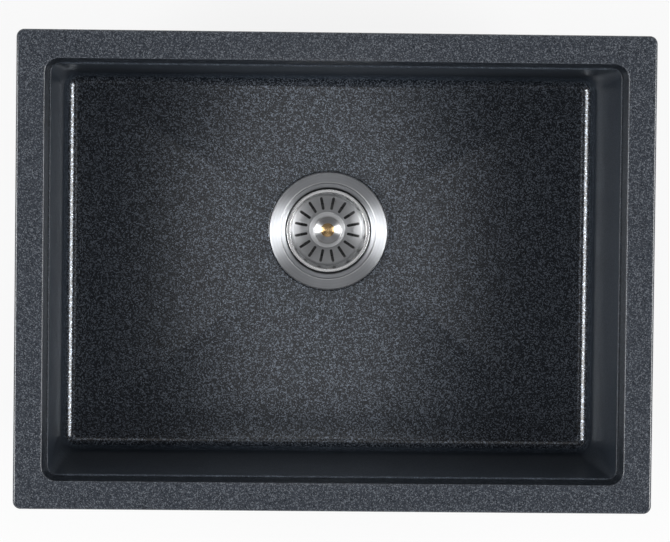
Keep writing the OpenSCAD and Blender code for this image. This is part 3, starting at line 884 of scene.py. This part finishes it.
    def ring(self, blank: Blank, pattern: list[Edge], radius: float,
             z: float, share: float = 0.0) -> list[Edge]:
        """Lays a circle round the drain, its points in line with those of an outline.

        Args:
            blank: The blank.
            pattern: The outline's edges.
            radius: The circle's radius.
            z: Its height.
            share: How far its points lie on the way to the outline.

        Returns:
            Its edges.
        """
        copy = bmesh.ops.duplicate(blank.bm, geom=ends(pattern) + pattern)["geom"]
        for vert in (part for part in copy if isinstance(part, Vert)):
            way = Vector((vert.co.x - DRAIN.x, vert.co.y - DRAIN.y, 0.0)).normalized()
            on_circle = Vector((DRAIN.x, DRAIN.y, z)) + way * radius
            vert.co = on_circle.lerp(Vector((vert.co.x, vert.co.y, z)), share)
        return [part for part in copy if isinstance(part, Edge)]

    def blank(self) -> Blank:
        """Shapes the moulding from outlines that are stacked and skinned.

        Returns:
            Its blank.
        """
        blank = Blank()
        levels = self.inner_levels() + self.rim_levels() + self.outer_levels()
        floor = DRAIN.z
        under = floor - self.floor_t
        hole_low = under - self.boss_h
        seat = floor + self.seat_u
        off = self.break_w
        inside = [(self.hole_r, seat - off), (self.hole_r + off, seat),
                  (self.seat_r - 0.2, seat), (self.seat_r, seat + 0.2),
                  (self.seat_r, floor - off), (self.seat_r + 0.3 * off, floor - 0.3 * off),
                  (self.seat_r + off, floor), (self.seat_r + 1.8 * off, floor),
                  (self.level_r - 0.8 * off, floor), (self.level_r, floor)]
        outside = [(self.boss_root_r + 0.8 * off, under), (self.boss_root_r, under - 0.6 * off),
                   (self.boss_r, hole_low + off), (self.boss_r - off, hole_low),
                   (self.hole_r + off, hole_low), (self.hole_r, hole_low + off)]
        rise = self.stack_rise
        dished = len(inside) + len(self.floor_shares)
        loops = [blank.rectangle(self.mouth_x - inset, self.mouth_y - inset, radius,
                                 (dished + index) * rise, self.cuts)
                 for index, (inset, _, radius) in enumerate(levels)]
        low = [self.ring(blank, loops[0], radius, index * rise)
               for index, (radius, _) in enumerate(inside)]
        low += [self.ring(blank, loops[0], self.level_r, (len(inside) + index) * rise, share)
                for index, share in enumerate(self.floor_shares)]
        above = dished + len(levels)
        high = [self.ring(blank, loops[-1], radius, (above + index) * rise)
                for index, (radius, _) in enumerate(outside)]
        slope = [floor + self.fall * (1.0 - (1.0 - share) ** self.fall_ease)
                 for share in self.floor_shares]
        heights = ([z for _, z in inside] + slope + [z for _, z, _ in levels]
                   + [z for _, z in outside])
        blank.skin(low + loops + high, heights)
        blank.tidy()
        return blank

    def underneath(self, face: Face) -> bool:
        """Tells whether a face lies under the rim, on the side that isn't polished.

        Args:
            face: The face.

        Returns:
            Whether it does.
        """
        middle = face.calc_center_median()
        outward = middle.xy.dot(face.normal.xy) > 0.0 and middle.xy.length > self.level_r
        return middle.z < 0.1 and (face.normal.z < -0.3 or outward)

    def inward(self, face: Face, low: float, high: float) -> bool:
        """Tells whether a face looks into the bowl and lies between two heights."""
        middle = face.calc_center_median()
        return low < middle.z < high and middle.xy.dot(face.normal.xy) < 0.001

    def on_wall(self, face: Face) -> bool:
        """Tells whether a face lies on a wall or the ledge, above the cove's foot: painted
        shading.
        """
        return self.inward(face, RIM_TOP - self.depth + self.polished_h,
                           RIM_TOP - self.lip_h + self.ledge_margin)

    def on_lip(self, face: Face) -> bool:
        """Tells whether a face lies on the lip over the ledge, which is darkened as painted shade.
        """
        return self.inward(face, RIM_TOP - self.lip_h + self.ledge_margin,
                           RIM_TOP - self.mouth_edge_r)

    def on_rim(self, face: Face) -> bool:
        """Tells whether a face lies on the rim's top, which is lightened as painted light."""
        return face.calc_center_median().z > RIM_TOP - 0.5 * self.mouth_edge_r

    def build(self) -> None:
        """Makes the moulding's piece."""
        # The walls, the lip and the rim's top get copies of the composite whose tones hold painted
        # light and shade.
        self.shop.piece(self.blank(), "bowl_moulding", Body.SINK, Finishes.composite, "sink_bowl",
                        offset=Vector(ORIGIN), others=((Finishes.wall_composite_painted_shading, self.on_wall),
                                                       (Finishes.lip_composite_painted_shade, self.on_lip),
                                                       (Finishes.rough_composite, self.underneath),
                                                       (Finishes.rim_composite_painted_light, self.on_rim)))


@dataclass
class Waste(Assembly):
    """The waste fixed in the floor: pressed flange and cup, seals, screw and washer."""

    flange_r: float = 59.0
    crown: float = 0.5
    bend_r: float = 1.4
    bend_span: tuple[float, float] = (0.5, 1.5)
    step_r: float = 47.4
    step_drop: float = 1.8
    cup_r: float = 43.0
    cup_foot_h: float = 3.8
    throat_r: float = 24.0
    throat_u: float = -40.9
    land_r: float = 28.5
    cup_corner_r: float = 6.0
    cross_u: float = -50.9
    cross_t: float = 2.0
    arm_count: int = 4
    arm_w: float = 6.0
    sheet_t: float = 1.0
    pad_r: float = 10.5
    screw_hole_r: float = 6.3

    def flange(self) -> Blank:
        """Shapes the pressed flange and cup, with the cross in its throat.

        Returns:
            Its blank.
        """
        mouth = self.crown - self.step_drop
        blank = Blank().turn([
            (self.flange_r, mouth, 0.0),
            (self.flange_r, self.crown, self.bend_r),
            (self.step_r + 0.4, self.crown, self.bend_r),
            (self.step_r - 0.2, mouth, 0.4),
            (self.cup_r, mouth, self.bend_r),
            (self.cup_r, self.throat_u + self.cup_foot_h, self.cup_corner_r),
            (self.land_r, self.throat_u, 1.5),
            (self.throat_r, self.throat_u, self.bend_r),
            (self.throat_r, self.cross_u - self.cross_t, 0.0),
        ], closed=False)
        blank.sheet(self.sheet_t)
        low = self.cross_u - self.cross_t
        pad = Blank().turn([
            (self.screw_hole_r, low, 0.3), (self.pad_r, low, 0.4), (self.pad_r, self.cross_u, 0.4),
            (self.screw_hole_r, self.cross_u, 0.3),
        ], steps=64)
        start = self.screw_hole_r + 1.0
        length = self.throat_r + self.sheet_t / 2 - start
        for index in range(self.arm_count):
            pad.block(Vector((length, self.arm_w, self.cross_t - 0.02)),
                      Vector((start + length / 2, 0.0, low + self.cross_t / 2)), 0.3,
                      360.0 * (index + 0.5) / self.arm_count)
        pad.tidy()
        blank.join(pad)
        return blank

    def on_bend(self, face: Face) -> bool:
        """Tells whether a face lies on the bend from the flange's flat to the step: a painted
        highlight.
        """
        low, high = self.bend_span
        return low < face.calc_center_median().xy.length - self.step_r < high

    def inside(self, face: Face) -> bool:
        """Tells whether a face lies down in the cup, whose rough steel is darkened as painted
        shade.
        """
        return face.calc_center_median().z < self.crown - 3.0 * self.step_drop

    def build(self) -> None:
        """Makes the flange's piece and dresses what stays."""
        # The flange's bend gets a brighter steel: a painted highlight.
        self.shop.piece(self.flange(), "flange_and_cup", Body.SINK, Finishes.flange_steel,
                        "waste_flange", others=((Finishes.satin_steel_painted_highlight, self.on_bend),
                                                (Finishes.inner_steel_painted_shade, self.inside)))
        self.shop.dress("flange_seal", Finishes.rubber)
        self.shop.dress("clamp_screw", Finishes.plain_brass)
        self.shop.dress("screw_washer", Finishes.plain_steel)


@dataclass
class Outlet(Assembly):
    """The plastic housing under the floor, with its seal, ribs, hub and pipe thread."""

    top_u: float = -21.0
    wall: float = 2.5
    outer_r: float = 60.0
    skirt_h: float = 7.0
    bell_r: float = 46.5
    funnel_u: float = -45.9
    neck_u: float = -65.9
    neck_r: float = 25.9
    thread_top_u: float = -73.9
    end_u: float = -95.9
    thread_r: float = 23.9
    core_r: float = 22.7
    pitch: float = 2.31
    thread_start: float = 0.9
    bore_r: float = 20.0
    rib_count: int = 12
    rib_t: float = 2.2
    hub_r: float = 10.5
    hub_low: float = -75.9
    hub_high: float = -59.9
    hub_hole_r: float = 6.3
    hub_lip: float = 1.0
    insert_r: float = 8.5
    insert_h: float = 14.0
    arm_count: int = 4
    arm_t: float = 2.6
    seal_t: float = 4.0
    seal_nip: float = 0.5

    def housing(self) -> Blank:
        """Shapes the housing with its ribs, hub, arms and thread.

        Returns:
            Its blank.
        """
        skirt = self.top_u - self.skirt_h
        under = self.top_u - self.wall
        out_r = self.bell_r + self.wall
        blank = Blank().turn([
            (self.bell_r, self.top_u, 0.4), (self.outer_r, self.top_u, 1.0),
            (self.outer_r, skirt, 0.7), (self.outer_r - self.wall, skirt, 0.7),
            (self.outer_r - self.wall, under, 0.8), (out_r, under, 0.8),
            (out_r, self.funnel_u, 3.0), (self.neck_r, self.neck_u - self.wall, 3.0),
            (self.neck_r, self.thread_top_u, 0.6), (self.core_r, self.thread_top_u, 0.4),
            (self.core_r, self.end_u, 0.8), (self.bore_r, self.end_u, 0.6),
            (self.bore_r, self.neck_u, 3.0), (self.bell_r, self.funnel_u, 3.0),
        ])
        middle = self.bell_r + self.wall / 2
        for index in range(self.rib_count):
            blank.plate([
                (middle, under + 0.5, 0.0), (self.outer_r - self.wall / 2, under + 0.5, 0.0),
                (self.outer_r - self.wall / 2, skirt + 1.0, 1.0),
                (out_r + 0.2, self.funnel_u + 4.0, 1.5), (middle, self.funnel_u + 4.0, 0.0),
            ], self.rib_t, 360.0 * index / self.rib_count)
        inner = self.hub_low + self.insert_h
        blank.turn([
            (self.hub_hole_r, self.hub_low, 0.3), (self.hub_r, self.hub_low, 0.6),
            (self.hub_r, self.hub_high, 0.6), (self.hub_hole_r, self.hub_high, 0.3),
            (self.hub_hole_r, self.hub_high - self.hub_lip, 0.0),
            (self.insert_r, self.hub_high - self.hub_lip, 0.0),
            (self.insert_r, self.hub_low + self.hub_lip, 0.0),
            (self.hub_hole_r, self.hub_low + self.hub_lip, 0.0),
        ], steps=64)
        for index in range(self.arm_count):
            blank.plate([
                (self.hub_r - 1.0, self.hub_low + 0.2, 0.0),
                (self.bore_r + 1.2, self.hub_low + 0.2, 0.0),
                (self.bore_r + 1.2, self.neck_u, 0.0),
                (self.bore_r + 6.3, inner, 0.0), (self.hub_r - 1.0, inner, 0.0),
            ], self.arm_t, 360.0 * index / self.arm_count)
        blank.thread(self.core_r - 0.1, self.thread_r, self.pitch, self.end_u + self.thread_start,
                     (self.thread_top_u - self.end_u - 4.0 * self.thread_start) / self.pitch)
        blank.tidy()
        return blank

    def seal(self) -> Blank:
        """Shapes the rubber ring between the floor and the housing.

        Returns:
            Its blank.
        """
        high = self.top_u + self.seal_t
        waist = self.top_u + self.seal_t / 2
        edge_r = self.outer_r - 1.0
        return Blank().turn([
            (self.bell_r, high, 0.4), (edge_r, high, 0.5), (edge_r - self.seal_nip, waist, 2.0),
            (edge_r, self.top_u, 0.5), (self.bell_r, self.top_u, 0.4),
            (self.bell_r + self.seal_nip, waist, 2.0),
        ])

    def build(self) -> None:
        """Makes the outlet's pieces and dresses what stays."""
        self.shop.piece(self.housing(), "ribbed_housing", Body.SINK, Finishes.plastic,
                        "outlet_housing", smooth_to=40.0)
        self.shop.piece(self.seal(), "rubber_ring", Body.SINK, Finishes.rubber, "underside_seal")
        self.shop.dress("housing_insert", Finishes.plain_brass)


@dataclass
class Basket(Assembly):
    """The lift-out basket: strainer cup, plug, plate, knob, post and fasteners."""

    rim_r: float = 41.8
    rim_u: float = -2.5
    lip_h: float = 2.2
    wall_r: float = 37.8
    foot_r: float = 35.8
    corner_r: float = 2.5
    flat_r: float = 33.3
    floor_u: float = -34.1
    sheet_t: float = 1.0
    post_r: float = 4.0
    post_end_u: float = -71.9
    groove_r: float = 3.42
    groove_span: tuple[float, float] = (2.0, 10.2)
    plug_r: float = 27.0
    plug_span: tuple[float, float] = (-40.6, -35.1)
    plate_r: float = 14.0
    plate_low_u: float = -41.6
    plate_t: float = 2.5
    slot_count: int = 16
    slot_start: float = 20.2
    slot_end: float = 33.1
    slot_w: float = 2.8
    knob_foot_r: float = 18.0
    knob_foot_h: float = 1.4
    foot_rise: float = 1.0
    knob_waist_r: float = 9.5
    knob_top_r: float = 14.4
    knob_under_u: float = -33.3
    knob_top_u: float = -15.8
    dish_h: float = 3.4
    dish_step: float = 1.3
    head_r: float = 6.9
    head_h: float = 2.2
    hollow_h: float = 2.3

    def cup(self) -> Blank:
        """Shapes the strainer cup with its slots.

        Returns:
            Its blank.
        """
        blank = Blank().turn([
            (self.rim_r, self.rim_u - self.lip_h, 0.0), (self.rim_r, self.rim_u, 0.9),
            (self.wall_r, self.rim_u, 0.8), (self.foot_r, self.floor_u, self.corner_r),
            (self.flat_r, self.floor_u, 0.0),
        ], closed=False)
        floor = Blank()
        middle = (0.0, 0.0, self.floor_u)
        for radius, segments in ((self.flat_r, 128), (self.post_r, 32)):
            bmesh.ops.create_circle(floor.bm, cap_ends=False, segments=segments, radius=radius,
                                    matrix=Matrix.Translation(middle))
        half = (self.slot_end - self.slot_start) / 2
        half_w = self.slot_w / 2
        for index in range(self.slot_count):
            verts = ends(floor.rectangle(half, half_w, half_w - 0.01, self.floor_u, (1, 1), 5))
            bmesh.ops.translate(floor.bm, vec=(self.slot_start + half, 0.0, 0.0), verts=verts)
            floor.twist(verts, 2.0 * math.pi * (index + 0.5) / self.slot_count)
        bmesh.ops.triangle_fill(floor.bm, use_beauty=True, use_dissolve=False,
                                edges=floor.bm.edges[:])
        blank.join(floor)
        blank.sheet(self.sheet_t)
        return blank

    def on_rim(self, face: Face) -> bool:
        """Tells whether a face of the cup belongs to its rolled rim."""
        return face.calc_center_median().xy.length > self.foot_r

    def knob(self) -> Blank:
        """Shapes the turned knob with its finger dish.

        Returns:
            Its blank.
        """
        foot = self.knob_under_u + self.knob_foot_h
        top, dish = self.knob_top_u, self.knob_top_u - self.dish_h
        return Blank().turn([
            (self.post_r, self.knob_under_u, 0.0), (self.knob_foot_r, self.knob_under_u, 0.2),
            (self.knob_foot_r, foot, 0.6), (self.knob_waist_r, foot + self.foot_rise, 2.4),
            (self.knob_waist_r, top - 3.0, 5.5), (self.knob_top_r, top - 1.6, 0.3),
            (self.knob_top_r, top, 0.6), (self.knob_top_r - 1.2, top, 0.35),
            (self.knob_top_r - 1.6, top - self.dish_step, 0.3), (self.head_r, dish, 0.0),
            (self.head_r, dish - self.head_h, 0.0), (self.post_r, dish - self.head_h, 0.0),
        ])

    def on_foot(self, face: Face) -> bool:
        """Tells whether a face of the knob belongs to its foot, which gets a painted highlight."""
        top = self.knob_under_u + self.knob_foot_h + self.foot_rise
        return face.calc_center_median().z < top

    def post(self) -> Blank:
        """Shapes the brass post with its hollow head.

        Returns:
            Its blank.
        """
        dish = self.knob_top_u - self.dish_h
        seat = dish - self.head_h
        low, high = (self.post_end_u + height for height in self.groove_span)
        head_r = self.head_r - 0.05
        return Blank().turn([
            (0.0, self.post_end_u, 0.0), (self.post_r, self.post_end_u, 0.8),
            (self.post_r, low, 0.1), (self.groove_r, low, 0.1), (self.groove_r, high, 0.1),
            (self.post_r, high, 0.1), (self.post_r, seat, 0.0), (head_r, seat, 0.0),
            (head_r, dish, 0.15), (0.0, dish - self.hollow_h, 0.0),
        ], closed=False, steps=96)

    def plug(self) -> Blank:
        """Shapes the rubber plug.

        Returns:
            Its blank.
        """
        low, top = self.plug_span
        groove = self.plate_r + 1.0
        return Blank().turn([
            (self.post_r, low + 1.5, 0.0), (self.post_r, top, 0.0), (self.plug_r, top, 1.0),
            (self.plug_r, low + 1.6, 0.6), (self.plug_r - 1.0, low, 0.5), (groove + 1.0, low, 0.3),
            (groove, low + 1.0, 0.3), (groove, low + 1.5, 0.0),
        ], steps=96)

    def plate(self) -> Blank:
        """Shapes the plate under the plug.

        Returns:
            Its blank.
        """
        low = self.plate_low_u
        top = low + self.plate_t
        return Blank().turn([
            (self.post_r, low, 0.0), (self.plate_r - 1.0, low, 0.6),
            (self.plate_r, low + 1.0, 0.4), (self.plate_r, top, 0.2), (self.post_r, top, 0.0),
        ], steps=96)

    def build(self) -> None:
        """Makes the basket's pieces and dresses what stays."""
        # The knob's foot gets a brighter steel: a painted highlight.
        for blank, name, finish, node, others in (
                (self.cup(), "strainer_cup", Finishes.basket_steel, "basket_cup",
                 ((Finishes.rolled_steel, self.on_rim),)),
                (self.knob(), "finger_knob", Finishes.knob_steel, "basket_knob",
                 ((Finishes.satin_steel_painted_highlight, self.on_foot),)),
                (self.post(), "brass_post", Finishes.turned_brass, "knob_post", ()),
                (self.plug(), "rubber_plug", Finishes.rubber, "basket_plug", ()),
                (self.plate(), "plug_cover", Finishes.plain_steel, "plug_plate", ())):
            self.shop.piece(blank, name, Body.BASKET, finish, node, others=others)
        self.shop.dress("knob_washer", Finishes.nylon)
        self.shop.dress("lock_washer", Finishes.plain_steel)
        self.shop.dress("post_nut", Finishes.plain_steel)
        self.shop.dress("catch_sleeve", Finishes.nylon)


@dataclass
class View:
    """The photograph's camera."""

    height: float = 4300.0
    focal_px: float = 4515.0
    width_px: float = 670.0
    tilt_x: float = 2.6
    tilt_y: float = 2.03
    roll: float = -0.574
    shift: tuple[float, float] = (0.34, -1.53)
    sensor: float = 36.0
    clip: tuple[float, float] = (0.05, 60.0)

    def build(self) -> None:
        """Sets up the camera."""
        turn = (Matrix.Rotation(math.radians(self.roll), 3, "Z")
                @ Matrix.Rotation(math.radians(self.tilt_y), 3, "Y")
                @ Matrix.Rotation(math.radians(self.tilt_x), 3, "X"))
        back = turn.transposed()
        away = back @ Vector((-self.shift[0], -self.shift[1], self.height)) + RIM_TOP * UP
        data = bpy.data.cameras.new("camera")
        data.sensor_fit = "HORIZONTAL"
        data.sensor_width = self.sensor
        data.lens = self.focal_px * self.sensor / self.width_px
        data.clip_start, data.clip_end = self.clip
        camera = placed("camera", data)
        camera.matrix_world = Matrix.Translation(away * MM) @ back.to_4x4()
        bpy.context.scene.camera = camera


@dataclass(frozen=True)
class Lamp:
    """A soft box or panel above the sink."""

    name: str
    place: Point
    size: tuple[float, float]
    power: float
    aim: Point = ORIGIN

    def build(self) -> None:
        """Hangs the lamp and aims it."""
        data = bpy.data.lights.new(self.name, "AREA")
        data.shape = "RECTANGLE"
        data.size, data.size_y = self.size
        data.energy = self.power
        lamp = placed(self.name, data)
        turn = (Vector(self.place) - Vector(self.aim)).to_track_quat("Z", "Y")
        lamp.matrix_world = Matrix.Translation(self.place) @ turn.to_matrix().to_4x4()
        lamp.visible_camera = False


@dataclass
class Studio:
    """Pale floor, pale surroundings, two soft boxes and three panels."""

    floor_drop: float = 0.0006
    floor_size: float = 14.0
    floor_colour: Colour = (0.96, 0.96, 0.96)
    floor_glow: float = 0.85
    white: Colour = (1.0, 1.0, 1.0)
    horizon_top: tuple[float, float] = (0.3, 0.5)
    ceiling: Colour = (0.06, 0.06, 0.065)
    lamps: tuple[Lamp, ...] = (
        Lamp("soft_box_left", (-1.6, -0.25, 1.55), (1.0, 0.9), 29.0),
        Lamp("soft_box_right", (1.6, -0.25, 1.55), (1.0, 0.9), 29.0),
        Lamp("panel_overhead", (0.028, -0.025, 1.1), (0.236, 0.4), 0.24, (0.028, -0.025, 0.0)),
        Lamp("panel_back", (0.0, 1.05, 1.9), (1.2, 0.7), 1.3),
        Lamp("panel_front", (0.0, -1.2, 1.9), (1.2, 0.7), 0.34),
    )

    def floor(self, low: float) -> None:
        """Lays the floor under the object.

        Args:
            low: The object's lowest height in metres.
        """
        bm = bmesh.new()
        bmesh.ops.create_grid(bm, x_segments=8, y_segments=8, size=self.floor_size / 2)
        bmesh.ops.translate(bm, vec=(0.0, 0.0, low - self.floor_drop), verts=bm.verts[:])
        mesh = bpy.data.meshes.new("studio_floor")
        bm.to_mesh(mesh)
        bm.free()
        placed("studio_floor", mesh)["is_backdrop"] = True
        graph = Coating("pale_floor")
        paler = tuple(min(1.0, part + 0.02) for part in self.floor_colour)
        tone = graph.blend(graph.noise(graph.place(), 3.0), self.floor_colour, paler)
        graph.set(Base_Color=tone, Roughness=0.9)
        path = graph.add("ShaderNodeLightPath").outputs
        seen = graph.math("ADD", path["Is Camera Ray"], path["Is Glossy Ray"], clamp=True)
        seen = graph.math("ADD", seen, path["Is Transmission Ray"], clamp=True)
        mix = graph.add("ShaderNodeMixShader", Fac=graph.math("MULTIPLY", seen, self.floor_glow))
        graph.put(graph.shader.outputs["BSDF"], mix.inputs[1])
        graph.put(graph.add("ShaderNodeEmission", Strength=1.0).outputs["Emission"], mix.inputs[2])
        graph.put(mix.outputs["Shader"], graph.surface)
        mesh.materials.append(graph.material)

    def surroundings(self) -> None:
        """Makes the world: pale round the horizon, dim overhead, and white to the camera."""
        world = bpy.data.worlds.new("studio")
        graph = Graph(world, "ShaderNodeOutputWorld")
        way = graph.add("ShaderNodeTexCoord").outputs["Generated"]
        height = graph.add("ShaderNodeSeparateXYZ", Vector=way).outputs["Z"]
        rise = graph.span(height, *self.horizon_top)
        rise.node.interpolation_type = "SMOOTHSTEP"
        seen = graph.add("ShaderNodeLightPath").outputs["Is Camera Ray"]
        sky = graph.blend(seen, graph.blend(rise, self.white, self.ceiling), self.white)
        background = graph.add("ShaderNodeBackground", Color=sky)
        graph.put(background.outputs["Background"], graph.surface)
        bpy.context.scene.world = world

    def build(self, low: float) -> None:
        """Sets up floor, world and lamps.

        Args:
            low: The object's lowest height in metres.
        """
        self.floor(low)
        self.surroundings()
        for lamp in self.lamps:
            lamp.build()
        bpy.context.scene.view_settings.view_transform = "Standard"


def box_lists() -> list[list[float]]:
    """Returns the whole object's box as plain lists of numbers."""
    return [[float(number) for number in corner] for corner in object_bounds()]


def main() -> None:
    """Builds the scene."""
    logging.basicConfig(level=logging.INFO, format="%(name)s: %(message)s")
    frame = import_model()
    solid_box = box_lists()
    View().build()
    shop = Workshop(frame, Finishes())
    for assembly in (Bowl, Waste, Outlet, Basket):
        assembly(shop).build()
    Studio().build(solid_box[0][2])


if __name__ == "__main__":
    main()
